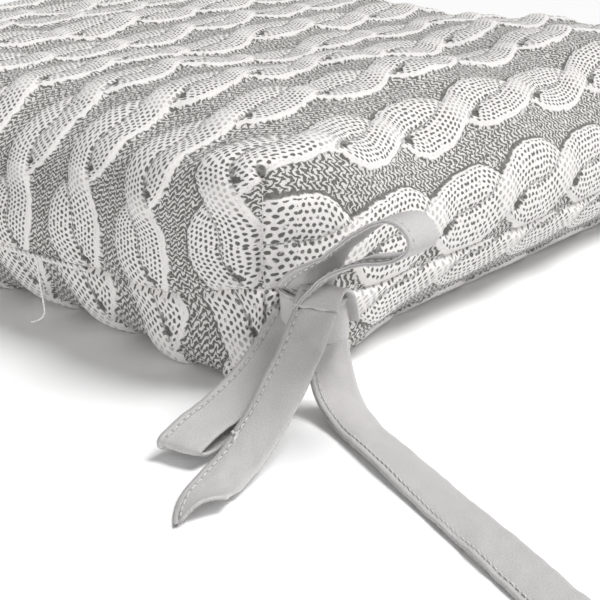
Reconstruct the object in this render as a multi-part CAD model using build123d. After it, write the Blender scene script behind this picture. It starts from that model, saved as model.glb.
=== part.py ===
"""Square chair seat pad: a boxed fabric cover sewn from a top and a bottom panel and filled with
polyester fibre, with a pair of tie tapes sewn into the seam at each rear corner and tied in a bow.

Frame: +Z up, origin on the floor under the pad's centre, front towards -Y, ties at the rear (+Y).
Lengths are millimetres and angles are degrees. The left bow (-X) is modelled, and the right one is
its mirror image.
"""

import os
from math import atan2, cos, hypot, pi, radians, sin, tan

from build123d import *

# --- driving dimensions: the pad ----------------------------------------------------------------
PAD_SIDE = 400.0
PAD_HEIGHT = 80.0
SEAM_HEIGHT = 36.0          # perimeter seam above the floor
PLAN_CORNER_RADIUS = 32.0
SHOULDER_RADIUS = 28.0      # top panel rolling over into the side
SKIRT_RADIUS = 22.0         # bottom panel rolling under
FABRIC = 1.4                # thickness of the cover fabric
FILL_GAP = 0.3              # room between fabric and filling
ALLOWANCE_WIDTH = 9.0       # seam allowance turned to the inside
ALLOWANCE = 0.9             # thickness of one allowance

# --- driving dimensions: sewing -----------------------------------------------------------------
THREAD = 0.8
SEAM_STITCH_INSET = 2.0     # seam stitching, in from the cover's inner face
CORNER_SEAM_STOP = 3.0      # corner stitching ends this far from the perimeter seam
CLOSING_LENGTH = 220.0      # gap in the rear seam that is stitched shut after filling
CLOSING_PITCH = 5.0
CLOSING_STITCH_LENGTH = 4.0
CLOSING_SLANT = 35.0
THREAD_END_START = -80.0    # loose end of the closing thread, along the rear face

# --- driving dimensions: ties -------------------------------------------------------------------
TIE_WIDTH = 16.0
TIE_THICKNESS = 1.2         # tape folded double
TOPSTITCH_INSET = 2.4       # topstitching, in from the tape's edge
TOPSTITCH_PROUD = 0.3
ROOT_CENTRE_Y = 186.0       # middle of the tapes where they leave the seam
ROOT_INNER_X = -179.0       # end of the tapes, caught inside the seam

KNOT_CENTRE = (-216.0, 195.0, 33.0)
KNOT_SIZE = (22.0, 13.0, 17.0)
KNOT_TURN = 24.0
KNOT_EDGE = 4.0

# Each tape route: a start in plan, a heading on the floor counted from +X, and the points
# (distance along the heading, height) of the tape's middle. Loops end where they began, in the knot.
SIDE_LOOP = ((-216.0, 198.0), 180.0,
             [(-2, 37), (6, 46), (20, 55.5), (37, 59), (46, 65.5), (40, 73.5), (29, 70.5), (16, 60.5),
              (4, 49.5), (-5, 38)])
REAR_LOOP = ((-210.0, 202.0), 93.0,
             [(-4, 25), (6, 16.5), (20, 9.5), (38, 4.5), (52, 2.4), (59, 5.4), (52, 8.4), (37, 10.5),
              (19, 16), (6, 23.5), (-4, 32)])
SIDE_TAIL = ((-219.0, 192.0), 150.5,
             [(0, 22), (4, 11.5), (13, 4), (28, 1.6), (54, 2.6), (84, 1.1), (116, 1.9), (142, 1.1), (164, 1.4)])
REAR_TAIL = ((-223.5, 204.5), 100.3,
             [(0, 38), (6, 31), (17, 21.5), (31, 12.5), (46, 5.5), (62, 2.2), (80, 1.2)])
ROOT_ROUTE = [(0, SEAM_HEIGHT), (22, SEAM_HEIGHT), (31, 34.5), (37, 33)]

# Loose thread end on the rear face: (sideways, outward from the face, height) of its points.
THREAD_END_ROUTE = [(0, 1.0, 33), (1.2, 2.2, 29), (0.4, 1.6, 24.5), (1.0, 1.2, 20), (3.4, 1.5, 17)]


# --- helpers ------------------------------------------------------------------------------------
def pad_solid(inset):
    """The pad's outline as one rounded block, taken in all round by inset."""
    side = PAD_SIDE - 2 * inset
    plan = RectangleRounded(side, side, PLAN_CORNER_RADIUS - inset)
    block = Pos(0, 0, inset) * extrude(plan, PAD_HEIGHT - 2 * inset)
    block = fillet(block.edges().group_by(Axis.Z)[-1], SHOULDER_RADIUS - inset)
    return fillet(block.edges().group_by(Axis.Z)[0], SKIRT_RADIUS - inset)


def ring(outer_inset, inner_inset, low, high):
    """A flat ring that follows the pad's plan, between two insets and two heights."""
    outer, inner = PAD_SIDE - 2 * outer_inset, PAD_SIDE - 2 * inner_inset
    plan = RectangleRounded(outer, outer, PLAN_CORNER_RADIUS - outer_inset)
    plan -= RectangleRounded(inner, inner, PLAN_CORNER_RADIUS - inner_inset)
    return Pos(0, 0, low) * extrude(plan, high - low)


def slab(low, high):
    """Everything between two heights, wider than the pad."""
    return Pos(0, 0, (low + high) / 2) * Box(2 * PAD_SIDE, 2 * PAD_SIDE, high - low)


def bend_radii(points):
    """For each corner of a route, the largest arc that its two runs leave room for."""
    radii = []
    for before, here, after in zip(points, points[1:], points[2:]):
        run_in, run_out = Vector(*here) - Vector(*before), Vector(*after) - Vector(*here)
        half_turn = radians(run_in.get_angle(run_out)) / 2
        radii.append(0.45 * min(run_in.length, run_out.length) / tan(half_turn))
    return radii


def tape_plane(tape):
    """The upright plane that a tape's route lies in: x along its heading, y up."""
    (x, y), heading, _ = tape
    forward = (cos(radians(heading)), sin(radians(heading)), 0)
    sideways = (sin(radians(heading)), -cos(radians(heading)), 0)
    return Plane(origin=(x, y, 0), x_dir=forward, z_dir=sideways)


def band(tape, low, high, thickness):
    """The stretch of a tape between two places across its width."""
    points = tape[2]
    profile = trace(FilletPolyline(*points, radius=bend_radii(points)), line_width=thickness)
    return tape_plane(tape) * Pos(0, 0, low) * extrude(profile, high - low, dir=(0, 0, 1))


def tape_solid(tape, layers=1):
    """A flat tape of the full width along its route."""
    return band(tape, -TIE_WIDTH / 2, TIE_WIDTH / 2, layers * TIE_THICKNESS)


def topstitch(tape):
    """The row of stitching along one edge of a tape, proud of both its faces."""
    middle = TIE_WIDTH / 2 - TOPSTITCH_INSET
    thickness = TIE_THICKNESS + 2 * TOPSTITCH_PROUD
    return band(tape, middle - THREAD / 2, middle + THREAD / 2, thickness) - tape_solid(tape)


def tube(points, diameter):
    """A round thread along straight runs joined by tangent arcs."""
    route = FilletPolyline(*points, radius=bend_radii(points))
    section = Plane(origin=route @ 0, z_dir=route % 0) * Circle(diameter / 2)
    solid = sweep(section, path=route)
    assert abs(solid.volume - pi * diameter ** 2 / 4 * route.length) < 0.02 * solid.volume
    return solid


# --- pad ----------------------------------------------------------------------------------------
def make_cover():
    """Top and bottom panels, each with the seam allowance that it turns to the inside."""
    shell = pad_solid(0) - pad_solid(FABRIC)
    inner = FABRIC + ALLOWANCE_WIDTH
    top = shell & slab(SEAM_HEIGHT, PAD_HEIGHT + FABRIC)
    bottom = shell & slab(-FABRIC, SEAM_HEIGHT)
    top += ring(FABRIC / 2, inner, SEAM_HEIGHT, SEAM_HEIGHT + ALLOWANCE)
    bottom += ring(FABRIC / 2, inner, SEAM_HEIGHT - ALLOWANCE, SEAM_HEIGHT)
    return top, bottom


def make_seam_thread():
    """Stitching through both allowances, all the way round."""
    inset = FABRIC + SEAM_STITCH_INSET
    return ring(inset, inset + THREAD, SEAM_HEIGHT - THREAD / 2, SEAM_HEIGHT + THREAD / 2)


def make_corner_threads():
    """The upright corner seams of both panels: one row of stitching above and one below, four times."""
    reach = PLAN_CORNER_RADIUS - FABRIC - THREAD
    corner = PAD_SIDE / 2 - PLAN_CORNER_RADIUS + reach * cos(radians(45))
    upper = (SEAM_HEIGHT + CORNER_SEAM_STOP, PAD_HEIGHT - SHOULDER_RADIUS)
    lower = (SKIRT_RADIUS, SEAM_HEIGHT - CORNER_SEAM_STOP)
    rows = []
    for low, high in (upper, lower):
        row = Cylinder(THREAD / 2, high - low)
        rows += [Pos(x, y, (low + high) / 2) * row for x in (-corner, corner) for y in (-corner, corner)]
    return rows


def make_filling(cutters):
    """Loose fibre, filling the cover up to its allowances and corner stitching."""
    room = FILL_GAP
    body = pad_solid(FABRIC + FILL_GAP)
    body -= ring(0, FABRIC + ALLOWANCE_WIDTH + room, SEAM_HEIGHT - ALLOWANCE - room,
                 SEAM_HEIGHT + ALLOWANCE + room)
    for cutter in cutters:
        body -= cutter
    return body


def make_closing_stitches():
    """Slanted hand stitches over the rear seam, where the pad was filled."""
    count = round(CLOSING_LENGTH / CLOSING_PITCH)
    stitch = Box(THREAD, THREAD / 2, CLOSING_STITCH_LENGTH)
    start = -CLOSING_LENGTH / 2 + CLOSING_PITCH / 2
    face = PAD_SIDE / 2 + THREAD / 4
    return [Pos(start + i * CLOSING_PITCH, face, SEAM_HEIGHT) * Rot(0, CLOSING_SLANT, 0) * stitch
            for i in range(count)]


def make_thread_end():
    """The loose end of the closing thread, hanging down the rear face."""
    points = [(THREAD_END_START - side, PAD_SIDE / 2 + out, z) for side, out, z in THREAD_END_ROUTE]
    return tube(points, THREAD)


# --- ties ---------------------------------------------------------------------------------------
def make_knot():
    knot = fillet(Box(*KNOT_SIZE).edges(), KNOT_EDGE)
    return Pos(*KNOT_CENTRE) * Rot(0, 0, KNOT_TURN) * knot


def make_root():
    """The two tapes lying on each other, from inside the seam to the knot."""
    return tape_solid(((ROOT_INNER_X, ROOT_CENTRE_Y), 180.0, ROOT_ROUTE), layers=2)


def make_bow():
    """Every piece of the left bow, by name."""
    knot = make_knot()
    pieces = {"knot": knot, "root": make_root() - knot}
    for name, tape in (("side_loop", SIDE_LOOP), ("rear_loop", REAR_LOOP)):
        pieces[name] = tape_solid(tape) - knot
        pieces[name + "_topstitch"] = topstitch(tape) - knot
    for name, tape in (("side_tail", SIDE_TAIL), ("rear_tail", REAR_TAIL)):
        pieces[name] = tape_solid(tape)
        pieces[name + "_topstitch"] = topstitch(tape)
    return pieces


# --- assembly -----------------------------------------------------------------------------------
def make_nodes():
    bow = make_bow()
    roots = [bow["root"], mirror(bow["root"], about=Plane.YZ)]
    seam_thread = make_seam_thread()
    corner_threads = make_corner_threads()
    for root in roots:
        seam_thread -= root
    top, bottom = make_cover()
    for cutter in roots + [seam_thread]:
        top -= cutter
        bottom -= cutter
    nodes = {
        "cover_top": top,
        "cover_bottom": bottom,
        "filling": make_filling(roots + corner_threads),
        "seam_thread": seam_thread,
        "corner_seam_threads": Compound(corner_threads),
        "closing_stitches": Compound(make_closing_stitches()),
        "closing_thread_end": make_thread_end(),
    }
    for name, piece in bow.items():
        nodes["left_bow_" + name] = piece
        nodes["right_bow_" + name] = mirror(piece, about=Plane.YZ)
    return nodes


def print_routes():
    """The length and the bends of each free tape."""
    for name, tape in (("side tail", SIDE_TAIL), ("rear tail", REAR_TAIL), ("side loop", SIDE_LOOP),
                       ("rear loop", REAR_LOOP)):
        radii = bend_radii(tape[2])
        length = FilletPolyline(*tape[2], radius=radii).length
        print(f"{name}: {length:.1f} mm long, bend radii " + " ".join(f"{r:.1f}" for r in radii))


def main():
    os.makedirs("parts", exist_ok=True)
    for name, shape in make_nodes().items():
        export_step(shape, f"parts/{name}.step")
    print_routes()


main()
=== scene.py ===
"""Looks of the chair seat pad: inflated fabric cover with a printed cable knit, tie tapes and thread.

Names that end in _MM, and the formulas for cloth, print and tapes, are in millimetres. What Blender and
the frame are given is in metres. Fabric coordinates (across, along) are the flat cloth's own, from the
middle of a panel, and the printed cables run along the second one.
"""

import math

import bmesh
import bpy
import numpy as np
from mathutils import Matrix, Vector, noise


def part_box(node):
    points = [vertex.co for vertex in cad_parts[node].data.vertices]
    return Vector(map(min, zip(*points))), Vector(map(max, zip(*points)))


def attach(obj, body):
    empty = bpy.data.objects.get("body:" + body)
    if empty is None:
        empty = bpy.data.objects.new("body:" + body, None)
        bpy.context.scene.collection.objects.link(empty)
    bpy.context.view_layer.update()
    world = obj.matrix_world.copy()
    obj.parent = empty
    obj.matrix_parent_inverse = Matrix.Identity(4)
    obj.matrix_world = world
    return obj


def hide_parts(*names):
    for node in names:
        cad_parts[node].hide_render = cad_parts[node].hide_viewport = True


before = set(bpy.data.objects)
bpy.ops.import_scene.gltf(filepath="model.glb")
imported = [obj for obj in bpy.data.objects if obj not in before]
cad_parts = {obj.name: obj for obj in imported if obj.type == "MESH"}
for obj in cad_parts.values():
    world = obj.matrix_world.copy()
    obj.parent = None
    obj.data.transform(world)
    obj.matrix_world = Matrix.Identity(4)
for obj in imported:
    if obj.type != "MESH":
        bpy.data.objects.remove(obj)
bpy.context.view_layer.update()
MM = 0.001

# --- sizes taken from the frame -------------------------------------------------------------------
PAD_LOW, PAD_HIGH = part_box("cover_bottom")[0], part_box("cover_top")[1]
SEAM_Z_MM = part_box("cover_bottom")[1][2] / MM
PAD_MM = (PAD_HIGH[0] - PAD_LOW[0]) / MM
HEIGHT_MM = (PAD_HIGH[2] - PAD_LOW[2]) / MM

# --- the cut panels -------------------------------------------------------------------------------
FACE_MM = 388.0            # square between the upright corner seams
TOP_SKIRT_MM = 44.0        # side of the top panel, from corner-seam top to perimeter seam
BOTTOM_SKIRT_MM = 28.0
FACE_CELLS = 64            # mesh cells across the face, and down each panel's skirt
TOP_CELLS = 6
BOTTOM_CELLS = 5
FABRIC_UV = "fabric_mm"

# --- the stuffed shape ----------------------------------------------------------------------------
TOP_RISE_MM = 42.0         # flat top above the seam
BOTTOM_DROP_MM = SEAM_Z_MM
SHOULDER_MM = (7.0, 34.0)  # rolling radius of the top edge, at the corners and along the sides
UNDER_MM = (6.0, 27.0)     # the same for the bottom edge
CORNER_OUT_MM = 196.0      # distance of the upright sides from the middle
SIDE_OUT_MM = (206.0, 193.0)  # the left and right sides bulge, the other two pull in
CORNER_REACH_MM = 130.0    # over which a corner's shape turns into the side's
CORNER_BULGE_MM = 5.0      # how much fuller the sides are near a corner
BULGE_AT_MM = 38.0         # how far from it, and over what width
BULGE_WIDTH_MM = 26.0
SEAM_SAG_MM = 8.5          # the seam hangs lower between the corners
SAG_REACH_MM = 45.0
CLOSING_HALF_MM = 110.0    # half the stitched gap in the rear seam
SLUMP_MM = 7.0             # the rear and front edges lie lower between the corners
SLUMP_HALF_MM = 150.0      # up to this far from their middle
SLUMP_FADE_MM = 110.0      # and ever less over the last of it
SLUMP_REACH_MM = 40.0      # how far in from the edge
LUMP_MM = 62.0             # spacing and height of the filling's lumps, on top and on the sides
LUMP_HEIGHT_MM = 5.0
SIDE_LUMP_MM = 2.0
UPPER_MM = 30.0            # height above the seam from which the lumps are the top's
SEAM_PINCH_MM = 0.8        # how far the perimeter seam draws the rear and front in, and how wide
SEAM_WIDTH_MM = 1.8
ON_SEAM_MM = 0.05          # cloth this close to a seam is on it
CORNER_PINCH_MM = 2.2
CORNER_WIDTH_MM = 2.2
KNOB_DEPTH_MM = 3.0        # the dimple at the end of a corner seam
KNOB_WIDTH_MM = 3.2
PUCKER_MM = 0.7            # small folds round it
PUCKER_AT_MM, PUCKER_WIDTH_MM = 9.0, 6.0
PUCKERS = 34
FILLING_SCALE = (0.965, 0.965, 0.86)  # the filling's size as a part of the cover's

# --- the printed cable knit -----------------------------------------------------------------------
CABLE_PITCH_MM = 38.0      # from one cable to the next
CROSSING_PITCH_MM = 50.0   # along a cable, from one crossing to the next
STRAND_HALF_MM = 6.75      # half the width of one of the two strands
STRAND_SWING_MM = 7.0      # how far a strand's middle swings from the cable's middle
STITCH_COLUMN_MM = 1.95    # from one column, or row, of knit stitches to the next
STITCH_ROW_MM = 2.85
PURL_WAVE_MM = 3.9
STRAND_RELIEF_MM = 2.1
CROSSING_RELIEF_MM = 1.3
TOP_CABLE_AT_MM = -181.5   # middle of a cable and of a crossing on the top panel
TOP_CROSSING_AT_MM = 160.0
STRETCH_FROM_MM = 206.0    # from the panel's middle to where its print starts to stretch
BOTTOM_CROSSING_AT_MM = 150.0
EASED_IN = 0.45            # extra print that the rear and front skirts of the top panel take up
STRETCHED = 0.15           # print that its other two skirts, which are pulled, go without

# --- colours --------------------------------------------------------------------------------------
LIGHT_COLOUR = (0.82, 0.80, 0.78)
GROUND_COLOUR = (0.125, 0.125, 0.112)
TIE_DARK, TIE_LIGHT = (0.41, 0.40, 0.398), (0.56, 0.547, 0.543)
THREAD_DARK, THREAD_LIGHT = (0.42, 0.41, 0.41), (0.70, 0.69, 0.69)
SEWING_DARK, SEWING_LIGHT = (0.6, 0.59, 0.57), (0.93, 0.92, 0.9)
FIBRE_DARK, FIBRE_LIGHT = (0.72, 0.71, 0.69), (0.9, 0.9, 0.89)
FLOOR_COLOUR = (0.97, 0.97, 0.97, 1)


def new_object(name, mesh):
    obj = bpy.data.objects.new(name, mesh)
    bpy.context.scene.collection.objects.link(obj)
    return obj


def subdivide(obj, levels, uv_smooth):
    """Rounds a mesh off with finer cells."""
    modifier = obj.modifiers.new("fine cells", "SUBSURF")
    modifier.levels = modifier.render_levels = levels
    modifier.uv_smooth = uv_smooth
    bpy.ops.object.select_all(action="DESELECT")
    obj.select_set(True)
    bpy.context.view_layer.objects.active = obj
    bpy.ops.object.modifier_apply(modifier=modifier.name)


# --- formulas that work on numpy arrays and inside materials --------------------------------------
class Shade:
    """A number inside a material, used in formulas like any other number."""

    def __init__(self, tree, socket):
        self.tree, self.socket = tree, socket

    def math(self, operation, *values):
        node = self.tree.nodes.new("ShaderNodeMath")
        node.operation = operation
        for slot, value in zip(node.inputs, values):
            if isinstance(value, Shade):
                self.tree.links.new(value.socket, slot)
            else:
                slot.default_value = value
        return Shade(self.tree, node.outputs[0])

    def __add__(self, other):
        return self.math("ADD", self, other)

    def __sub__(self, other):
        return self.math("SUBTRACT", self, other)

    def __rsub__(self, other):
        return self.math("SUBTRACT", other, self)

    def __mul__(self, other):
        return self.math("MULTIPLY", self, other)

    def __truediv__(self, other):
        return self.math("DIVIDE", self, other)

    __radd__, __rmul__ = __add__, __mul__


def either(operation, formula):
    """A function for numpy arrays and for Shade values alike."""
    def act(*values):
        shade = next((value for value in values if isinstance(value, Shade)), None)
        return shade.math(operation, *values) if shade else formula(*values)
    return act


sine = either("SINE", np.sin)
size = either("ABSOLUTE", np.abs)
side = either("SIGN", np.sign)
root = either("SQRT", np.sqrt)
least = either("MINIMUM", np.minimum)
most = either("MAXIMUM", np.maximum)
fraction = either("FRACT", lambda value: value - np.floor(value))


def step(value, low, high):
    """0 at low, 1 at high, with soft ends; low may be the larger."""
    part = least(most((value - low) / (high - low), 0.0), 1.0)
    return part * part * (3.0 - 2.0 * part)


def mixed(low, high, part):
    return low + (high - low) * part


def oval(u, v, half_u, half_v):
    """1 inside an oval around zero, 0 outside, with a soft edge."""
    return step((u / half_u) * (u / half_u) + (v / half_v) * (v / half_v), 1.3, 0.55)


# --- printed cable knit ---------------------------------------------------------------------------
class Knit:
    """The cable knit at pattern coordinates: x across the cables, y along them, in millimetres.

    Two strands twist round each other. The front one runs from top left to bottom right over a
    crossing, and the back one, which turns more sharply, comes out from under it.
    """

    def __init__(self, x, y):
        self.x, self.y = x, y
        self.turn = fraction(y / CROSSING_PITCH_MM + 0.5) - 0.5
        self.along = self.turn * CROSSING_PITCH_MM
        across = (fraction(x / CABLE_PITCH_MM + 0.5) - 0.5) * CABLE_PITCH_MM
        swing = sine(self.turn * math.pi) * STRAND_SWING_MM
        back_swing = (swing + 0.16 * STRAND_SWING_MM * sine(self.turn * 3 * math.pi)) / 0.84
        self.front, self.back = across + swing, across - back_swing
        self.in_front = step(size(self.front), STRAND_HALF_MM + 0.3, STRAND_HALF_MM - 0.3)
        in_back = step(size(self.back), STRAND_HALF_MM + 0.3, STRAND_HALF_MM - 0.3)
        self.cable = most(self.in_front, in_back)
        self.past_right = across - most(back_swing, -1.0 * swing) - STRAND_HALF_MM
        self.past_left = least(back_swing, -1.0 * swing) - STRAND_HALF_MM - across
        self.crossing = self.in_front * step(size(self.along), 9.0, 3.0)
        beside = self.front * side(self.turn) - STRAND_HALF_MM
        far = size(self.along)
        lower = step(self.turn, 0.0, -0.02)
        second_hole = 0.8 * oval(beside - 1.2, far - 12.6, 0.9, 1.7)
        self.hole = most(oval(beside - 1.3, far - 8.0, 1.9, 1.9), second_hole) * lower
        crease = step(beside, -0.3, 0.2) * step(beside, 1.5, 0.7)
        self.crease = crease * step(far, 3.0, 6.0) * step(far, 21.0, 11.0) * mixed(0.45, 1.0, lower)
        self.gutter = step(size(self.past_right - 0.6), 0.9, 0.4)

    def stitches(self):
        """The dark gaps between the stitches of the strands, in columns that lean with them."""
        column = mixed(self.back, self.front, self.in_front) / (2 * STITCH_COLUMN_MM)
        row = self.along / STITCH_ROW_MM
        gaps = [oval((fraction(column + shift) - 0.5) * 2 * STITCH_COLUMN_MM,
                     (fraction(row + shift) - 0.5) * STITCH_ROW_MM, 0.58, 0.86) for shift in (0.0, 0.5)]
        return most(*gaps)

    def purl(self, wander):
        """The light wavy rows between the cables."""
        wave = sine((self.x + wander) / PURL_WAVE_MM * 2 * math.pi) * 1.2
        row = fraction((self.y + wave + wander) / STITCH_ROW_MM) - 0.5
        return step(size(row) * STITCH_ROW_MM, 0.95, 0.45)

    def relief(self):
        """How far the cloth stands up, in millimetres."""
        crown = root(most(1.0 - (self.front / STRAND_HALF_MM) * (self.front / STRAND_HALF_MM), 0.0))
        back_crown = root(most(1.0 - (self.back / STRAND_HALF_MM) * (self.back / STRAND_HALF_MM), 0.0))
        lift = step(size(self.along), 14.0, 0.0) * CROSSING_RELIEF_MM
        height = most(self.in_front * ((0.55 + 0.45 * crown) * STRAND_RELIEF_MM + crown * lift),
                      (self.cable - self.in_front) * (0.55 + 0.45 * back_crown) * STRAND_RELIEF_MM)
        return height - 1.5 * self.hole - 0.6 * self.crease - 0.4 * self.gutter


def top_pattern(u, v):
    """Pattern coordinates of a place on the top panel."""
    past_u = u - least(most(u, -STRETCH_FROM_MM), STRETCH_FROM_MM)
    past_v = v - least(most(v, -FACE_MM / 2), FACE_MM / 2)
    return u - TOP_CABLE_AT_MM - past_u * STRETCHED, v - TOP_CROSSING_AT_MM + past_v * EASED_IN


def bottom_pattern(u, v):
    """Pattern coordinates of a place on the bottom panel, which is cut the other way round."""
    return u - TOP_CABLE_AT_MM, BOTTOM_CROSSING_AT_MM - v


# --- materials ------------------------------------------------------------------------------------
class Material:
    """A node material, with short ways to add the nodes that cloth and thread need."""

    def __init__(self, name, roughness, sheen=0.0):
        self.material = bpy.data.materials.new(name)
        self.material.use_nodes = True
        self.tree = self.material.node_tree
        self.shader = self.tree.nodes["Principled BSDF"]
        self.shader.inputs["Roughness"].default_value = roughness
        self.shader.inputs["Sheen Weight"].default_value = sheen

    def coordinates(self, layer):
        """The two coordinates of a UV layer, and their vector."""
        uv = self.tree.nodes.new("ShaderNodeUVMap")
        uv.uv_map = layer
        split = self.tree.nodes.new("ShaderNodeSeparateXYZ")
        self.tree.links.new(uv.outputs["UV"], split.inputs[0])
        return Shade(self.tree, split.outputs["X"]), Shade(self.tree, split.outputs["Y"]), uv.outputs["UV"]

    def object_place(self):
        place = self.tree.nodes.new("ShaderNodeTexCoord")
        return place.outputs["Object"]

    def noise(self, vector, scale, detail=2.0):
        """Smooth noise between about 0.25 and 0.75."""
        node = self.tree.nodes.new("ShaderNodeTexNoise")
        node.inputs["Scale"].default_value = scale
        node.inputs["Detail"].default_value = detail
        self.tree.links.new(vector, node.inputs["Vector"])
        return Shade(self.tree, node.outputs["Fac"])

    def colour(self, low, high, part):
        """Base colour between two, by how much of the second shows."""
        mix = self.tree.nodes.new("ShaderNodeMix")
        mix.data_type = "RGBA"
        mix.inputs["A"].default_value = (*low, 1)
        mix.inputs["B"].default_value = (*high, 1)
        self.tree.links.new(part.socket, mix.inputs["Factor"])
        self.tree.links.new(mix.outputs["Result"], self.shader.inputs["Base Color"])

    def bump(self, height_mm):
        """Fine relief, from a height in millimetres."""
        bump = self.tree.nodes.new("ShaderNodeBump")
        bump.inputs["Distance"].default_value = MM
        self.tree.links.new(height_mm.socket, bump.inputs["Height"])
        self.tree.links.new(bump.outputs["Normal"], self.shader.inputs["Normal"])


def knit_material(name, pattern):
    """Printed cloth: light stitches with dark gaps on the cables, light waves on grey between, and painted
    shade round the dimpled tip of each corner seam.
    """
    cloth = Material(name, roughness=0.9, sheen=0.15)
    u, v, vector = cloth.coordinates(FABRIC_UV)
    drift = cloth.noise(vector, 0.11) - 0.5
    wobble = cloth.noise(vector, 0.45) - 0.5
    x, y = pattern(u, v)
    knit = Knit(x + wobble * 1.5 + drift * 2.0, y + wobble * -1.3 + drift * 2.4)
    blotch = cloth.noise(vector, 0.33, 3.0)
    gaps = knit.stitches() * step(blotch, 0.24, 0.44) * mixed(1.0, 0.45, knit.crossing)
    left_rib = step(size(knit.past_left + 0.75), 1.0, 0.5)
    right_rib = step(size(knit.past_right + 0.5), 0.7, 0.3)
    light = mixed(knit.purl(wobble * 3.0) * 0.85, 1.0 - gaps, knit.cable)
    light = most(light, most(left_rib, right_rib) * knit.cable)
    dark = most(most(knit.hole, knit.crease * 0.65), knit.gutter * (1.0 - knit.cable) * 0.9)
    # Painted shade: the cloth darkens round the dimple at the tip of each corner seam.
    knob = oval(size(u) - FACE_MM / 2, size(v) - FACE_MM / 2, 3.4, 2.4)
    light = light * (1.0 - most(dark, knob * 0.85))
    yarn = cloth.noise(vector, 2.6, 3.0)
    cloth.colour(GROUND_COLOUR, LIGHT_COLOUR, light * mixed(0.72, 1.12, yarn))
    cloth.bump(light * 0.5 + yarn * 0.22 - knit.hole * 0.5)
    return cloth.material


def woven_material(name, layer, thread_mm, low, high):
    """Plain weave of fine threads, with painted shade along the line of the topstitching and in its needle
    holes.
    """
    cloth = Material(name, roughness=0.8, sheen=0.1)
    u, v, vector = cloth.coordinates(layer)
    wander = (cloth.noise(vector, 0.9) - 0.5) * 0.5
    over = sine((u + wander) * (math.pi / thread_mm)) * sine((v + wander) * (math.pi / thread_mm))
    slub = cloth.noise(vector, 1.7, 4.0)
    # Painted shade: the weave darkens along the groove of the topstitching, and more in its needle holes.
    line = step(size(u - (TIE_WIDTH_MM / 2 - TOPSTITCH_INSET_MM)), 0.75, 0.25)
    hole = line * step(size(fraction(v / TOPSTITCH_ROWS - 0.33) - 0.95), 0.2, 0.08)
    shade = 0.5 + 0.22 * over + (slub - 0.5) * 1.6 - line * 0.4 - hole * 1.2
    cloth.colour(low, high, least(most(shade, -0.9), 1.0))
    cloth.bump(over * 0.035 + slub * 0.16 - hole * 0.3)
    return cloth.material


def thread_material(name, low, high):
    """Sewing thread with a fine, uneven twist."""
    thread = Material(name, roughness=0.65, sheen=0.2)
    place = thread.object_place()
    twist = thread.noise(place, 2600.0, 2.0)
    thread.colour(low, high, step(twist, 0.3, 0.7))
    thread.bump(twist * 0.12)
    return thread.material


def fibre_material():
    """Tangled white polyester fibre."""
    fibre = Material("polyester fibre", roughness=1.0, sheen=0.4)
    place = fibre.object_place()
    tangle = fibre.noise(place, 420.0, 6.0)
    fibre.colour(FIBRE_DARK, FIBRE_LIGHT, tangle)
    fibre.bump(tangle * 1.6)
    return fibre.material


# --- cover ----------------------------------------------------------------------------------------
def panel_lines(skirt, cells):
    """Grid lines across one panel: skirt, face, skirt."""
    half = FACE_MM / 2
    skirt_lines = np.linspace(-half - skirt, -half, cells + 1)
    face_lines = np.linspace(-half, half, FACE_CELLS + 1)
    return np.concatenate([skirt_lines[:-1], face_lines, -skirt_lines[::-1][1:]])


def ease(value):
    """0 to 1 with a soft start and end."""
    value = np.clip(value, 0, 1)
    return value * value * (3 - 2 * value)


def wall_profile(distance, longest, radius, height, wall):
    """How far in from the wall, and how far up from the seam, cloth at this distance from it lies.

    The longest distance, at the middle of the panel, lies at the middle of the pad.
    """
    straight = height - radius
    angle = np.clip((distance - straight) / radius, 0, np.pi / 2)
    arc_end = straight + radius * np.pi / 2
    past = np.maximum(distance - arc_end, 0) * (wall - radius) / (longest - arc_end)
    inward = radius * (1 - np.cos(angle)) + past
    up = np.minimum(distance, straight) + radius * np.sin(angle)
    return inward, up


def stuffed(fabric, skirt, height, radii, sag):
    """Where cloth at these fabric coordinates lies: (x, y, up from the seam's height at a corner)."""
    half = FACE_MM / 2
    beyond, along = np.abs(fabric), np.abs(fabric[..., ::-1])
    from_corner = ease((half - along) / CORNER_REACH_MM)
    radius = radii[0] + (radii[1] - radii[0]) * from_corner
    wall = CORNER_OUT_MM + (np.array(SIDE_OUT_MM) - CORNER_OUT_MM) * from_corner
    wall = wall + CORNER_BULGE_MM * np.exp(-((half - along - BULGE_AT_MM) / BULGE_WIDTH_MM) ** 2)
    wall_height = height + sag * ease((half - along) / SAG_REACH_MM)
    inward, up = wall_profile(half + skirt - beyond, half + skirt, radius, wall_height, wall)
    place = np.sign(fabric) * (wall - inward)
    drop = np.maximum(wall_height - up, 0)
    drop = (drop[..., 0] ** 3 + drop[..., 1] ** 3) ** (1 / 3)
    return np.concatenate([place, (height - drop)[..., None]], axis=-1)


def panel(skirt, cells, sign, height, radii):
    """One boxed panel: where each quad's corners lie, their fabric coordinates and sewing keys.

    The corners of the cross are cut away, and the two sides of a corner seam get the same key.
    sign is 1 for the top panel, whose skirts hang down, and -1 for the bottom one.
    """
    lines = panel_lines(skirt, cells)
    half = FACE_MM / 2
    quads = []
    for a0, a1 in zip(lines, lines[1:]):
        for b0, b1 in zip(lines, lines[1:]):
            if abs(a0 + a1) / 2 > half and abs(b0 + b1) / 2 > half:
                continue
            corners = [(a0, b0), (a1, b0), (a1, b1), (a0, b1)]
            quads.append(corners if sign > 0 else corners[::-1])
    fabric = np.array(quads)
    over = np.maximum(np.abs(fabric) - half, 0).max(axis=2)
    keys = np.concatenate([np.clip(fabric, -half, half), sign * (skirt - over)[..., None]], axis=2)
    places = stuffed(fabric, skirt, height, radii, sign * SEAM_SAG_MM)
    places[..., 2] = SEAM_Z_MM + sign * places[..., 2]
    return places, fabric, keys


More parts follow.
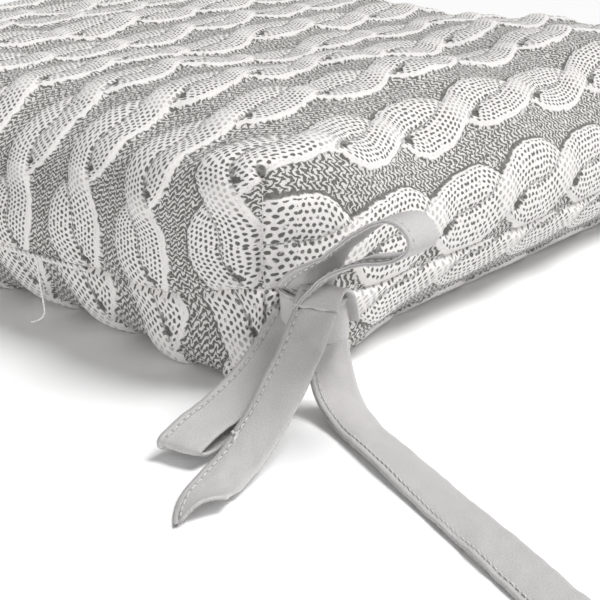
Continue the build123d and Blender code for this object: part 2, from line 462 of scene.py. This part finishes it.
def cover_mesh():
    """Both panels sewn at the corners and the perimeter, with fabric coordinates and panel marks."""
    top = panel(TOP_SKIRT_MM, TOP_CELLS, 1, TOP_RISE_MM, SHOULDER_MM)
    bottom = panel(BOTTOM_SKIRT_MM, BOTTOM_CELLS, -1, BOTTOM_DROP_MM, UNDER_MM)
    places, fabric, keys = (np.concatenate(pair).reshape(-1, pair[0].shape[-1])
                            for pair in zip(top, bottom))
    _, index = np.unique(np.round(keys, 2), axis=0, return_inverse=True)
    index = index.ravel()
    count = np.bincount(index)
    points = np.stack([np.bincount(index, places[:, i]) / count for i in range(3)], axis=1)
    mesh = bpy.data.meshes.new("cover")
    mesh.from_pydata((points * MM).tolist(), [], index.reshape(-1, 4).tolist())
    layer = mesh.uv_layers.new(name=FABRIC_UV)
    layer.data.foreach_set("uv", fabric.astype("f").ravel())
    mark = mesh.attributes.new("panel", "INT", "FACE")
    mark.data.foreach_set("value", [0] * len(top[0]) + [1] * len(bottom[0]))
    return mesh


def vertex_places(mesh):
    places = np.empty(len(mesh.vertices) * 3, "f")
    mesh.vertices.foreach_get("co", places)
    return places.reshape(-1, 3).astype(float)


def inflate(obj, pressure, frames, cap):
    """Lets the cloth solver swell the cover; no point moves further than cap or below the floor."""
    rest = vertex_places(obj.data)
    cloth = obj.modifiers.new("inflate", "CLOTH")
    settings = cloth.settings
    settings.quality = 6
    settings.mass = 0.3
    settings.tension_stiffness = 15
    settings.compression_stiffness = 15
    settings.shear_stiffness = 5
    settings.bending_stiffness = 0.5
    settings.use_pressure = True
    settings.uniform_pressure_force = pressure
    settings.effector_weights.gravity = 0
    cloth.point_cache.frame_end = frames
    scene = bpy.context.scene
    for number in range(1, frames + 1):
        scene.frame_set(number)
    swollen = obj.evaluated_get(bpy.context.evaluated_depsgraph_get()).to_mesh()
    move = vertex_places(swollen) - rest
    obj.modifiers.remove(cloth)
    scene.frame_set(1)
    far = np.linalg.norm(move, axis=1, keepdims=True)
    places = rest + move * np.minimum(1, cap / np.maximum(far, 1e-9))
    places[:, 2] = np.maximum(places[:, 2], 0)
    obj.data.vertices.foreach_set("co", places.astype("f").ravel())
    obj.data.update()


# --- the finished cover ---------------------------------------------------------------------------
def filling_lump(place):
    """How far a lump stands out, as noise of two sizes."""
    return noise.noise(place / LUMP_MM) + 0.4 * noise.noise(place * 2.3 / LUMP_MM)


def shape_by_hand(obj):
    """What the filling does and the solver doesn't: soft lumps, and edges that slump."""
    places = vertex_places(obj.data) / MM
    x, y, z = places.T
    lump = np.array([filling_lump(Vector(place)) for place in places])
    upper = ease((z - SEAM_Z_MM) / UPPER_MM)
    from_edge = (PAD_MM / 2 - np.abs(y)) / SLUMP_REACH_MM
    slump = ease((SLUMP_HALF_MM - np.abs(x)) / SLUMP_FADE_MM) * np.exp(-from_edge ** 2)
    z = z + (lump * LUMP_HEIGHT_MM - slump * SLUMP_MM) * upper
    outward = side_directions(places)
    side_lump = lump * SIDE_LUMP_MM * (1 - upper)
    places = np.stack([x, y, np.maximum(z, 0)], axis=1) + outward * side_lump[:, None]
    obj.data.vertices.foreach_set("co", (places * MM).astype("f").ravel())
    obj.data.update()


def side_directions(places):
    """Level directions straight out of the pad's sides, turning at the corners."""
    push = np.sign(places) * np.abs(places / (PAD_MM / 2)) ** 9
    push[:, 2] = 0
    return push / np.maximum(np.linalg.norm(push, axis=1, keepdims=True), 1e-9)


def split_panel(cover, mark, name):
    """One panel of the cover as its own object, with fine cells."""
    mesh = cover.data.copy()
    mesh.name = name
    panel_object = new_object(name, mesh)
    build = bmesh.new()
    build.from_mesh(mesh)
    marks = build.faces.layers.int["panel"]
    bmesh.ops.delete(build, geom=[face for face in build.faces if face[marks] != mark], context="FACES")
    build.to_mesh(mesh)
    build.free()
    subdivide(panel_object, 2, "NONE")
    panel_object.data.shade_smooth()
    return panel_object


def fabric_places(mesh):
    """Fabric coordinates of every vertex."""
    corner_vertex = np.empty(len(mesh.loops), "i")
    mesh.loops.foreach_get("vertex_index", corner_vertex)
    uv = np.empty(len(mesh.loops) * 2, "f")
    mesh.uv_layers[FABRIC_UV].data.foreach_get("uv", uv)
    fabric = np.zeros((len(mesh.vertices), 2))
    fabric[corner_vertex] = uv.reshape(-1, 2)
    return fabric


def raise_print(panel_object, pattern, skirt):
    """Stands the cables up, pulls the seams in and puckers the corners."""
    mesh = panel_object.data
    places, fabric = vertex_places(mesh) / MM, fabric_places(mesh)
    normals = np.empty(len(mesh.vertices) * 3, "f")
    mesh.vertex_normals.foreach_get("vector", normals)
    normals = normals.reshape(-1, 3)
    half = FACE_MM / 2
    beyond = np.abs(fabric).max(axis=1) - half
    to_seam = skirt - beyond
    to_corner = np.where(beyond > 0, half - np.abs(fabric).min(axis=1), 1e3)
    height = Knit(*pattern(*fabric.T)).relief() * ease(to_seam / 1.5) * ease(to_corner / 3)
    height -= CORNER_PINCH_MM * np.exp(-(to_corner / CORNER_WIDTH_MM) ** 2) * ease(to_seam / 6)
    knob = np.linalg.norm(np.abs(fabric) - half, axis=1)
    angle = np.arctan2(fabric[:, 1], fabric[:, 0])
    ring = np.exp(-((knob - PUCKER_AT_MM) / PUCKER_WIDTH_MM) ** 2)
    height += PUCKER_MM * np.sin(angle * PUCKERS) * ring
    height -= KNOB_DEPTH_MM * np.exp(-(knob / KNOB_WIDTH_MM) ** 2)
    outward = side_directions(places)
    pinch = SEAM_PINCH_MM * np.abs(outward[:, 1]) * np.exp(-(to_seam / SEAM_WIDTH_MM) ** 2)
    places += normals * height[:, None] - outward * pinch[:, None]
    places[:, 2] = np.maximum(places[:, 2], 0.2)
    mesh.vertices.foreach_set("co", (places * MM).astype("f").ravel())
    mesh.update()


# --- routes of the tapes --------------------------------------------------------------------------
# A start in plan, a heading on the floor in degrees from +X, and (distance along it, height) of the
# control points, with a third value for how far one lies to the left of the heading. The loops and the
# side tail take the CAD's own routes, and the rear tail does up to its curled end. The root, the fold
# over the knot and the loose thread end have routes of their own. The right bow mirrors the left one.
SIDE_LOOP = ((-0.216, 0.198), 180.0,
             [(-0.002, 0.037), (0.006, 0.046), (0.020, 0.0555), (0.037, 0.059), (0.046, 0.0655),
              (0.040, 0.0735), (0.029, 0.0705), (0.016, 0.0605), (0.004, 0.0495), (-0.005, 0.038)])
REAR_LOOP = ((-0.210, 0.202), 93.0,
             [(-0.004, 0.025), (0.006, 0.0165), (0.020, 0.0095), (0.038, 0.0045), (0.052, 0.0024),
              (0.059, 0.0054), (0.052, 0.0084), (0.037, 0.0105), (0.019, 0.016), (0.006, 0.0235),
              (-0.004, 0.032)])
SIDE_TAIL = ((-0.219, 0.192), 150.5,
             [(0, 0.022), (0.004, 0.0115), (0.013, 0.004), (0.028, 0.0016), (0.054, 0.0026),
              (0.084, 0.0011), (0.116, 0.0019), (0.142, 0.0011), (0.164, 0.0014)])
REAR_TAIL = ((-0.2235, 0.2045), 100.3,
             [(0, 0.038), (0.006, 0.031), (0.017, 0.0215), (0.031, 0.0125), (0.046, 0.0055),
              (0.062, 0.0022), (0.073, 0.0014, 0.0010), (0.081, 0.0014, 0.0055)])
FOLD_OVER = [(-0.017, 0.030), (-0.015, 0.040), (-0.008, 0.0440), (-0.0035, 0.0422), (-0.0002, 0.0377)]
ROOT = ((-0.192, 0.190), 172.0, [(0, 0.031), (0.010, 0.031), (0.020, 0.032), (0.030, 0.032)])
THREAD_END = [(-0.0870, 0.2000, 0.0270), (-0.0880, 0.2005, 0.0210), (-0.0900, 0.2010, 0.0140),
              (-0.0925, 0.2020, 0.0055), (-0.0872, 0.2050, 0.0045)]

TIE_WIDTH_MM = 16.0
TIE_THICKNESS_MM = 1.2
WEAVE_MM = 0.42            # from one thread of the weave to the next
CREASE_MM = 0.55           # how far the tape's creases stand off its middle
TOPSTITCH_INSET_MM = 2.4
TOPSTITCH_PITCH_MM = 3.1   # of the puckers along the stitching
TOPSTITCH_ROWS = 3         # rows of a tape's mesh, about 1 mm apart, from one stitch to the next
TOPSTITCH_LIFT_MM = TIE_THICKNESS_MM / 2 * 1.05
TOPSTITCH_PART = 0.86      # how much of those rows a stitch covers
TOPSTITCH_RADIUS_MM = 0.30
THREAD_MM = 0.8            # across the closing thread
TAPE_UV = "tape_mm"
FLAT = ((0, 0),)           # no turn, or no cup, anywhere along a tape
TAIL_SKEW_MM = 5.0         # how far the rear tail's stitched edge reaches past its middle
THREAD_BIT_AT = 0.55       # where a bit of thread lies, as a part of the rear tail's length
THREAD_BIT_BENDS = ((0.0, -1), (1.2, 0), (2.6, 0), (2.9, 3))  # mm in from the edge, and rows along
THREAD_BIT_RADIUS_MM = 0.5
FRAY_ENDS = 22             # loose warp ends where a tape is cut
FRAY_RADIUS_MM = 0.11
FRAY_REACH_MM = (0.8, 2.6)
KNOT_CENTRE_MM = (-216.0, 195.0, 33.0)
KNOT_TURN = math.radians(24)
# Each wrap's half length and half width, rise, width and edge lean in mm and degrees, and its seed.
KNOT_WRAPS = ((10.8, 6.6, 0.0, 14.0, 6.0, 1.0), (9.2, 5.6, 1.2, 13.0, -14.0, 5.0))
KNOT_TILT_MM = 1.6
KNOT_PACKING_MM = np.array((9.4, 5.4, 7.6))


def spline_curve(name, points, resolution):
    """The NURBS curve that has these control points, in metres."""
    data = bpy.data.curves.new(name, "CURVE")
    data.dimensions = "3D"
    data.resolution_u = resolution
    spline = data.splines.new("NURBS")
    spline.points.add(len(points) - 1)
    for control, point in zip(spline.points, points):
        control.co = (*point, 1)
    spline.order_u = 3
    spline.use_endpoint_u = True
    return data


def spline_line(points):
    """Points along the curve that has these control points."""
    route = new_object("route", spline_curve("route", points, 20))
    line = vertex_places(bpy.data.meshes.new_from_object(route))
    bpy.data.objects.remove(route)
    return line


def tape_line(tape):
    (x, y), heading, places = tape
    forward = Vector((math.cos(math.radians(heading)), math.sin(math.radians(heading)), 0))
    left = Vector((-forward.y, forward.x, 0))
    return spline_line([Vector((x, y, z)) + forward * along + left * sum(aside)
                        for along, z, *aside in places])


def even_steps(line, pitch):
    """The same line at even steps."""
    runs = np.linalg.norm(np.diff(line, axis=0), axis=1)
    reach = np.concatenate([[0], np.cumsum(runs)])
    steps = np.linspace(0, reach[-1], max(2, round(reach[-1] / pitch)) + 1)
    return np.stack([np.interp(steps, reach, line[:, i]) for i in range(3)], axis=1), steps


class Tape:
    """A tape folded double along a line, turned about it by angles given along its length.

    turns are (part of the length, degrees) and cups (part of the length, mm that the edges drop, or
    minus the mm that the middle rises). A skewed tape's stitched edge reaches further at its end.
    """

    def __init__(self, line, across, turns=FLAT, cups=FLAT, seed=0.0, width=TIE_WIDTH_MM, skew=0.0):
        self.centre, steps = even_steps(line, MM)
        self.centre /= MM
        self.reach = steps / MM
        self.half = width / 2
        self.seed = seed
        part = steps / steps[-1]
        tangent = np.gradient(self.centre, axis=0)
        tangent /= np.linalg.norm(tangent, axis=1, keepdims=True)
        wide = np.array(across, float) - tangent * (tangent @ np.array(across, float))[:, None]
        wide /= np.linalg.norm(wide, axis=1, keepdims=True)
        up = np.cross(tangent, wide)
        angle = np.radians(np.interp(part, *zip(*turns)))[:, None]
        self.wide = wide * np.cos(angle) + up * np.sin(angle)
        self.up = np.cross(tangent, self.wide)
        self.cup = np.interp(part, *zip(*cups))
        self.skew = tangent * (skew * ease((part - 0.75) / 0.25))[:, None]

    def surface(self, across, lift, row):
        """A point in metres, never under the floor, from mm across the tape and off its middle at a row."""
        reach = self.reach[row]
        crease = noise.noise(Vector((across / 7, reach / 11, self.seed)))
        crease += 0.5 * noise.noise(Vector((across / 3, reach / 5, self.seed + 9)))
        stitch = math.exp(-((across - self.half + TOPSTITCH_INSET_MM) / 1.2) ** 2)
        pucker = 0.10 * math.sin(2 * math.pi * reach / TOPSTITCH_PITCH_MM) * stitch
        part = across / self.half
        cup = self.cup[row] * (part ** 2 if self.cup[row] > 0 else 1 - (part + 0.15) ** 2)
        off = lift * (1 - 0.28 * stitch) + CREASE_MM * crease + pucker + cup
        place = self.centre[row] + self.wide[row] * across + self.up[row] * off + self.skew[row] * part
        place[2] = max(place[2], (lift + TIE_THICKNESS_MM / 2) * 0.8)
        return place * MM

    def outline(self):
        """Across and lift of the tape's section: a fold on one edge, two free edges on the other."""
        half, thick = self.half, TIE_THICKNESS_MM / 2
        flat = np.linspace(-half + 0.3, half, 13)
        upper = [(u, thick) for u in flat]
        edge = [(half, thick * 0.3), (half - 1.5, 0.0), (half, -thick * 0.3)]
        lower = [(u, -thick) for u in flat[::-1]]
        return upper + edge + lower + [(-half, -thick * 0.5), (-half - 0.05, thick * 0.5)]

    def mesh(self, name):
        section = self.outline()
        rows = len(self.centre)
        places = [self.surface(u, w, row) for row in range(rows) for u, w in section]
        count = len(section)
        faces, uvs = [], []
        for row in range(rows - 1):
            here, ahead = row * count, (row + 1) * count
            for i in range(count):
                j = (i + 1) % count
                faces.append((here + i, here + j, ahead + j, ahead + i))
                uvs += [(section[i][0], self.reach[row]), (section[j][0], self.reach[row]),
                        (section[j][0], self.reach[row + 1]), (section[i][0], self.reach[row + 1])]
        for row, order in ((0, range(count - 1, -1, -1)), (rows - 1, range(count))):
            faces.append([row * count + i for i in order])
            uvs += [(section[i][0], self.reach[row] + section[i][1]) for i in order]
        mesh = bpy.data.meshes.new(name)
        mesh.from_pydata(places, [], faces)
        layer = mesh.uv_layers.new(name=TAPE_UV)
        layer.data.foreach_set("uv", np.array(uvs, "f").ravel())
        mesh.shade_smooth()
        mesh.update()
        return mesh

    def topstitch_mesh(self, name):
        """The row of stitches along the free edges, on both faces."""
        build = bmesh.new()
        across = self.half - TOPSTITCH_INSET_MM
        for first in range(1, len(self.centre) - TOPSTITCH_ROWS, TOPSTITCH_ROWS):
            for lift in (TOPSTITCH_LIFT_MM, -TOPSTITCH_LIFT_MM):
                ends = [self.surface(across, lift, row) for row in (first, first + TOPSTITCH_ROWS)]
                ends[1] = ends[0] + (ends[1] - ends[0]) * TOPSTITCH_PART
                add_stitch(build, ends, self.up[first] * math.copysign(1, lift), TOPSTITCH_RADIUS_MM)
        mesh = bpy.data.meshes.new(name)
        build.to_mesh(mesh)
        build.free()
        return mesh


# Rings of one stitch: part of its length, rise and girth in thread radii.
STITCH_RINGS = ((0, -1.2, 0.5), (0.12, 0.1, 0.9), (0.35, 0.6, 1), (0.65, 0.6, 1), (0.88, 0.1, 0.9),
                (1, -1.2, 0.5))
STITCH_SIDES = 6


def add_stitch(build, ends, up, radius_mm):
    """One stitch: a short thread that dips into the cloth at both ends."""
    start, end = (np.array(point, float) for point in ends)
    along = (end - start) / np.linalg.norm(end - start)
    up = np.array(up, float)
    up = up - along * (up @ along)
    up /= np.linalg.norm(up)
    wide = np.cross(along, up)
    rings = []
    for part, rise, girth in STITCH_RINGS:
        middle = start + (end - start) * part + up * rise * radius_mm * MM
        radius = radius_mm * girth * MM
        rings.append([build.verts.new(middle + radius * (wide * math.cos(a) + up * math.sin(a)))
                      for a in np.linspace(0, 2 * math.pi, STITCH_SIDES + 1)[:-1]])
    for ring, following in zip(rings, rings[1:]):
        for i in range(STITCH_SIDES):
            face = build.faces.new((ring[i], ring[i - 1], following[i - 1], following[i]))
            face.smooth = True
    build.faces.new(rings[0])
    build.faces.new(rings[-1][::-1])


def mirrored(mesh, name):
    """The same mesh on the other side of the pad."""
    copy = mesh.copy()
    copy.name = name
    build = bmesh.new()
    build.from_mesh(copy)
    for vertex in build.verts:
        vertex.co.x = -vertex.co.x
    bmesh.ops.reverse_faces(build, faces=build.faces)
    build.to_mesh(copy)
    build.free()
    return copy


def fray(mesh, tape, seed):
    """Loose warp ends of uneven length where a tape is cut."""
    rng = np.random.default_rng(seed)
    build = bmesh.new()
    build.from_mesh(mesh)
    last = len(tape.centre) - 1
    forward = tape.centre[last] - tape.centre[last - 1]
    forward /= np.linalg.norm(forward)
    for across in np.linspace(-tape.half + 0.6, tape.half - 0.6, FRAY_ENDS):
        start = tape.surface(across, rng.uniform(-0.4, 0.4), last) - forward * 0.6 * MM
        reach = rng.uniform(*FRAY_REACH_MM)
        end = start + (forward * reach + tape.wide[last] * rng.uniform(-0.7, 0.7)
                       + tape.up[last] * rng.uniform(-0.3, 0.5)) * MM
        add_stitch(build, (start, end), tape.up[last], FRAY_RADIUS_MM)
    build.to_mesh(mesh)
    build.free()


def add_thread_bit(mesh, tape):
    """A short end of thread that lies over the stitched edge."""
    build = bmesh.new()
    build.from_mesh(mesh)
    row = int(len(tape.centre) * THREAD_BIT_AT)
    lift = -TIE_THICKNESS_MM / 2 - 0.2
    places = [tape.surface(tape.half - inset, lift, row + ahead) for inset, ahead in THREAD_BIT_BENDS]
    for start, end in zip(places, places[1:]):
        add_stitch(build, (start, end + (end - start) * 0.2), -tape.up[row], THREAD_BIT_RADIUS_MM)
    build.to_mesh(mesh)
    build.free()


def across_heading(heading):
    return (math.sin(math.radians(heading)), -math.cos(math.radians(heading)), 0)


def add_strip(build, tape):
    """Adds a tape to a mesh in the making."""
    strip = tape.mesh("strip")
    build.from_mesh(strip)
    bpy.data.meshes.remove(strip)


def crumple(place):
    """How far tape packed at this place of a ball stands out, about 1."""
    return 1 + 0.07 * math.sin(5 * place.z + 4 * place.x) + 0.08 * noise.noise(place * 2.2)


def knot_mesh(name):
    """The knot: tapes wrapped round it, the rear tail's fold over them, and tape packed inside."""
    centre = np.array(KNOT_CENTRE_MM)
    level = np.array([math.cos(KNOT_TURN), math.sin(KNOT_TURN), 0])
    out = np.array([-math.sin(KNOT_TURN), math.cos(KNOT_TURN), 0])
    build = bmesh.new()
    for half_long, half_wide, rise, width, lean, seed in KNOT_WRAPS:
        angles = np.linspace(0, 2 * math.pi, 61)
        points = [(centre + level * half_long * math.cos(a) + out * half_wide * math.sin(a)
                   + np.array([0, 0, rise + KNOT_TILT_MM * math.cos(a + 0.6)])) * MM for a in angles]
        turns = ((0, lean), (0.5, -lean), (1, lean))
        wrap = Tape(np.array(points), (0, 0, 1), turns=turns, seed=seed, width=width)
        add_strip(build, wrap)
    tail_fold = tape_line((REAR_TAIL[0], REAR_TAIL[1], FOLD_OVER))
    add_strip(build, Tape(tail_fold, across_heading(REAR_TAIL[1]), seed=31.0))
    packing = bmesh.ops.create_icosphere(build, subdivisions=4, radius=1.0)["verts"]
    for vertex in packing:
        long, wide, high = KNOT_PACKING_MM * np.array(vertex.co) * crumple(vertex.co)
        vertex.co = (centre + level * long + out * wide + np.array([0, 0, high])) * MM
    mesh = bpy.data.meshes.new(name)
    build.to_mesh(mesh)
    build.free()
    mesh.shade_smooth()
    return mesh


# Name, route, turns, cups, seed and body of each tape.
BOW_TAPES = (
    ("root", ROOT, ((0, 90), (1, 60)), FLAT, 3.0, "pad"),
    ("side_loop", SIDE_LOOP, ((0, 12), (0.2, 0), (0.8, 0), (0.93, 40), (1, 60)), FLAT, 11.0, "pad"),
    ("rear_loop", REAR_LOOP, ((0, 0), (0.3, 4), (0.7, 6), (1, 0)), FLAT, 17.0, "pad"),
    ("side_tail", SIDE_TAIL, ((0, 0), (0.3, -6), (0.6, 2), (1, 4)),
     ((0, 0), (0.3, 0.6), (1, -0.3)), 23.0, "side_tail"),
    ("rear_tail", REAR_TAIL, ((0, 6), (0.4, 0), (0.8, 0), (0.9, 4), (1, 14)),
     ((0, 0.8), (0.3, -0.3), (0.78, -0.4), (0.92, -1.6), (1, -3.6)), 31.0, "rear_tail"))


def add_bow():
    """Both bows, each piece by the name of its CAD node without the side."""
    cloth = woven_material("tie tape weave", TAPE_UV, WEAVE_MM, TIE_DARK, TIE_LIGHT)
    thread = thread_material("tie topstitch", THREAD_DARK, THREAD_LIGHT)
    made = {"left": {}, "right": {}}
    lines = {}
    for name, tape, turns, cups, seed, body in BOW_TAPES:
        lines[name] = tape_line(tape)
        skew = TAIL_SKEW_MM if name == "rear_tail" else 0.0
        shape = Tape(lines[name], across_heading(tape[1]), turns, cups, seed, skew=skew)
        meshes = {name: (shape.mesh("left_bow_" + name), cloth)}
        if name != "root":
            stitching = shape.topstitch_mesh("left_bow_" + name + "_topstitch")
            meshes[name + "_topstitch"] = (stitching, thread)
        if name.endswith("tail"):
            fray(meshes[name][0], shape, int(seed))
        if name == "rear_tail":
            add_thread_bit(meshes["rear_tail_topstitch"][0], shape)
        place_both(made, meshes, body)
    place_both(made, {"knot": (knot_mesh("left_bow_knot"), cloth)}, "pad")


def place_both(made, meshes, body):
    """Adds each mesh on the left and its mirror image on the right, with nothing below the floor."""
    for name, (mesh, material) in meshes.items():
        mesh.materials.append(material)
        for vertex in mesh.vertices:
            vertex.co.z = max(vertex.co.z, 0.0)
        for where in ("left", "right"):
            full_name = where + "_bow_" + name
            own = mesh if where == "left" else mirrored(mesh, full_name + "_shape")
            piece = new_object(full_name + "_cloth", own)
            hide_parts(full_name)
            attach(piece, "pad" if body == "pad" else where + "_" + body)
            made[where][name] = piece


# --- threads of the cover -------------------------------------------------------------------------
SEAM_STITCH_MM = 2.8       # from one stitch to the next
SEAM_STITCH_PART = 0.85    # how much of that a stitch covers
SEAM_DEPTH_MM = 0.9        # how far inside the perimeter seam its stitches lie
CORNER_DEPTH_MM = 0.2      # the same at the corner seams
SEAM_THREAD_RADIUS_MM = 0.3
CLOSING_THREAD_RADIUS_MM = 0.6
CLOSING_OUT_MM = 2.0       # how far outside the seam the closing stitches lie
CLOSING_STITCH_MM = np.array((1.9, 0, 1.0))  # from a closing stitch's middle to its end


def seam_loop(panel_object):
    """Places along the perimeter seam, in order round the pad."""
    mesh = panel_object.data
    places, fabric = vertex_places(mesh), fabric_places(mesh)
    rim = places[np.abs(fabric).max(axis=1) > FACE_MM / 2 + TOP_SKIRT_MM - ON_SEAM_MM]
    rim = rim[np.argsort(np.arctan2(rim[:, 1], rim[:, 0]))]
    return np.concatenate([rim, rim[:1]])


def stitches_object(name, stitches, radius_mm, material, node):
    """One piece made of many stitches, each as (start, end, outward)."""
    build = bmesh.new()
    for start, end, outward in stitches:
        add_stitch(build, (start, end), outward, radius_mm)
    mesh = bpy.data.meshes.new(name)
    build.to_mesh(mesh)
    build.free()
    mesh.materials.append(material)
    piece = new_object(name, mesh)
    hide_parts(node)
    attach(piece, "pad")


def add_seam_stitches(line, outward, thread):
    """The stitches that join the two panels."""
    inner = line - outward * SEAM_DEPTH_MM * MM
    stitches = [(a, a + (b - a) * SEAM_STITCH_PART, out) for a, b, out in zip(inner, inner[1:], outward)]
    stitches_object("perimeter_seam_thread", stitches, SEAM_THREAD_RADIUS_MM, thread, "seam_thread")


def add_closing_stitches(line, outward, thread):
    """The slanted hand stitches over the gap in the rear seam."""
    half = CLOSING_STITCH_MM * MM
    stitches = []
    for place, out in zip(line, outward):
        if place[1] > 0 and abs(place[0]) < CLOSING_HALF_MM * MM:
            middle = place + out * CLOSING_OUT_MM * MM
            stitches.append((middle - half, middle + half, out))
    stitches_object("closing_hand_stitches", stitches, CLOSING_THREAD_RADIUS_MM, thread, "closing_stitches")


def add_corner_stitches(panel_object, thread):
    """The stitches of the top panel's upright corner seams."""
    places, fabric = vertex_places(panel_object.data), fabric_places(panel_object.data)
    beyond = np.abs(fabric) - FACE_MM / 2
    on_seam = (beyond.max(axis=1) > 2) & (np.abs(beyond.min(axis=1)) < ON_SEAM_MM)
    stitches = []
    for corner in ((-1, -1), (-1, 1), (1, -1), (1, 1)):
        own = places[on_seam & (np.sign(places[:, :2]) == corner).all(axis=1)]
        own = own[np.argsort(own[:, 2])]
        out = np.array([*corner, 0]) / math.sqrt(2)
        line, _ = even_steps(own, SEAM_STITCH_MM * MM)
        inside = line - out * CORNER_DEPTH_MM * MM
        stitches += [(a, a + (b - a) * SEAM_STITCH_PART, out) for a, b in zip(inside, inside[1:])]
    stitches_object("corner_seam_stitches", stitches, SEAM_THREAD_RADIUS_MM, thread, "corner_seam_threads")


def add_cover_threads(top_panel, bottom_panel):
    thread = thread_material("sewing thread", SEWING_DARK, SEWING_LIGHT)
    line, _ = even_steps(seam_loop(top_panel), SEAM_STITCH_MM * MM)
    outward = side_directions(line / MM)
    add_seam_stitches(line, outward, thread)
    add_closing_stitches(line, outward, thread)
    add_thread_end(thread, (top_panel, bottom_panel))
    add_corner_stitches(top_panel, thread)


def outside(place, panels):
    """The place, moved out in Y until it clears the cover's rear by a thread."""
    reach = place[1]
    for panel_object in panels:
        hit, where, _, _ = panel_object.ray_cast((place[0], 2 * PAD_HIGH[1], place[2]), (0, -1, 0))
        if hit:
            reach = max(reach, where[1] + THREAD_MM * MM)
    return place[0], reach, place[2]


def add_thread_end(material, panels):
    """The loose end of the closing thread."""
    route = [outside(point, panels) for point in THREAD_END]
    data = spline_curve("closing_thread_tail", route, 12)
    data.bevel_depth = THREAD_MM / 2 * MM
    data.bevel_resolution = 3
    data.use_fill_caps = True
    data.materials.append(material)
    piece = new_object("closing_thread_tail", data)
    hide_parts("closing_thread_end")
    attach(piece, "pad")


def add_filling(shape):
    """The fibre filling inside the cover, a little smaller than it."""
    mesh = shape.data.copy()
    mesh.name = "filling_fibre"
    places = vertex_places(mesh) / MM
    middle = np.array([0, 0, HEIGHT_MM / 2])
    places = middle + (places - middle) * FILLING_SCALE
    mesh.vertices.foreach_set("co", (places * MM).astype("f").ravel())
    mesh.update()
    mesh.materials.clear()
    mesh.materials.append(fibre_material())
    piece = new_object("filling_fibre", mesh)
    subdivide(piece, 1, "PRESERVE_BOUNDARIES")
    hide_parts("filling")
    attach(piece, "pad")


# --- camera and light -----------------------------------------------------------------------------
VIEW_AZIMUTH, VIEW_ELEVATION = math.radians(218), math.radians(18.5)
CAMERA_PLACE = Vector((-0.5024, 0.5691, 0.1948))
LENS_MM = 90
FLOOR_HALF = 25.0
KEY_FROM, KEY_POWER, KEY_ANGLE = Vector((-0.38, -0.48, 1)), 3.2, math.radians(30)
# Name, place, width and height, and power of the area lights.
FILL_LIGHTS = (("rear fill", (-0.1, 1.8, 0.35), (1.4, 0.5), 10),
               ("side fill", (-1.75, 0.7, 0.6), (1.2, 0.6), 9))
FILL_TARGET = Vector((0, 0.1, 0))
WORLD_STRENGTH = 0.17


def add_camera():
    back = Vector((math.sin(VIEW_AZIMUTH) * math.cos(VIEW_ELEVATION),
                   -math.cos(VIEW_AZIMUTH) * math.cos(VIEW_ELEVATION), math.sin(VIEW_ELEVATION)))
    data = bpy.data.cameras.new("camera")
    data.lens = LENS_MM
    data.sensor_width = 36
    data.clip_start = 0.01
    data.clip_end = 50
    camera = new_object("camera", data)
    camera.location = CAMERA_PLACE
    camera.rotation_euler = back.to_track_quat("Z", "Y").to_euler()
    bpy.context.scene.camera = camera


def add_floor():
    mesh = bpy.data.meshes.new("floor")
    corners = [(-1, -1), (1, -1), (1, 1), (-1, 1)]
    mesh.from_pydata([(x * FLOOR_HALF, y * FLOOR_HALF, 0) for x, y in corners], [], [(0, 1, 2, 3)])
    floor = new_object("floor", mesh)
    material = bpy.data.materials.new("floor")
    material.use_nodes = True
    shader = material.node_tree.nodes["Principled BSDF"]
    shader.inputs["Base Color"].default_value = FLOOR_COLOUR
    shader.inputs["Roughness"].default_value = 0.6
    mesh.materials.append(material)


def add_fill_light(name, place, extent, power):
    data = bpy.data.lights.new(name, "AREA")
    data.shape = "RECTANGLE"
    data.size, data.size_y = extent
    data.energy = power
    light = new_object(name, data)
    light.location = place
    light.rotation_euler = (Vector(place) - FILL_TARGET).to_track_quat("Z", "Y").to_euler()


def add_lights():
    sun = bpy.data.lights.new("key", "SUN")
    sun.energy = KEY_POWER
    sun.angle = KEY_ANGLE
    key = new_object("key", sun)
    key.rotation_euler = KEY_FROM.to_track_quat("Z", "Y").to_euler()
    for name, place, extent, power in FILL_LIGHTS:
        add_fill_light(name, place, extent, power)
    world = bpy.data.worlds.new("studio")
    bpy.context.scene.world = world
    world.use_nodes = True
    world.node_tree.nodes["Background"].inputs["Color"].default_value = (1, 1, 1, 1)
    world.node_tree.nodes["Background"].inputs["Strength"].default_value = WORLD_STRENGTH
    bpy.context.scene.view_settings.view_transform = "Standard"


add_camera()
add_bow()
add_floor()
add_lights()
cover = new_object("cover", cover_mesh())
inflate(cover, pressure=0.8, frames=14, cap=0.006)
shape_by_hand(cover)
top = split_panel(cover, 0, "cover_top_panel")
bottom = split_panel(cover, 1, "cover_bottom_panel")
add_filling(cover)
bpy.data.objects.remove(cover)
for piece, pattern, skirt in ((top, top_pattern, TOP_SKIRT_MM), (bottom, bottom_pattern, BOTTOM_SKIRT_MM)):
    raise_print(piece, pattern, skirt)
    piece.data.materials.append(knit_material(piece.name.replace("_", " ") + " print", pattern))
    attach(piece, "pad")
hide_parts("cover_top")
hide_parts("cover_bottom")
add_cover_threads(top, bottom)
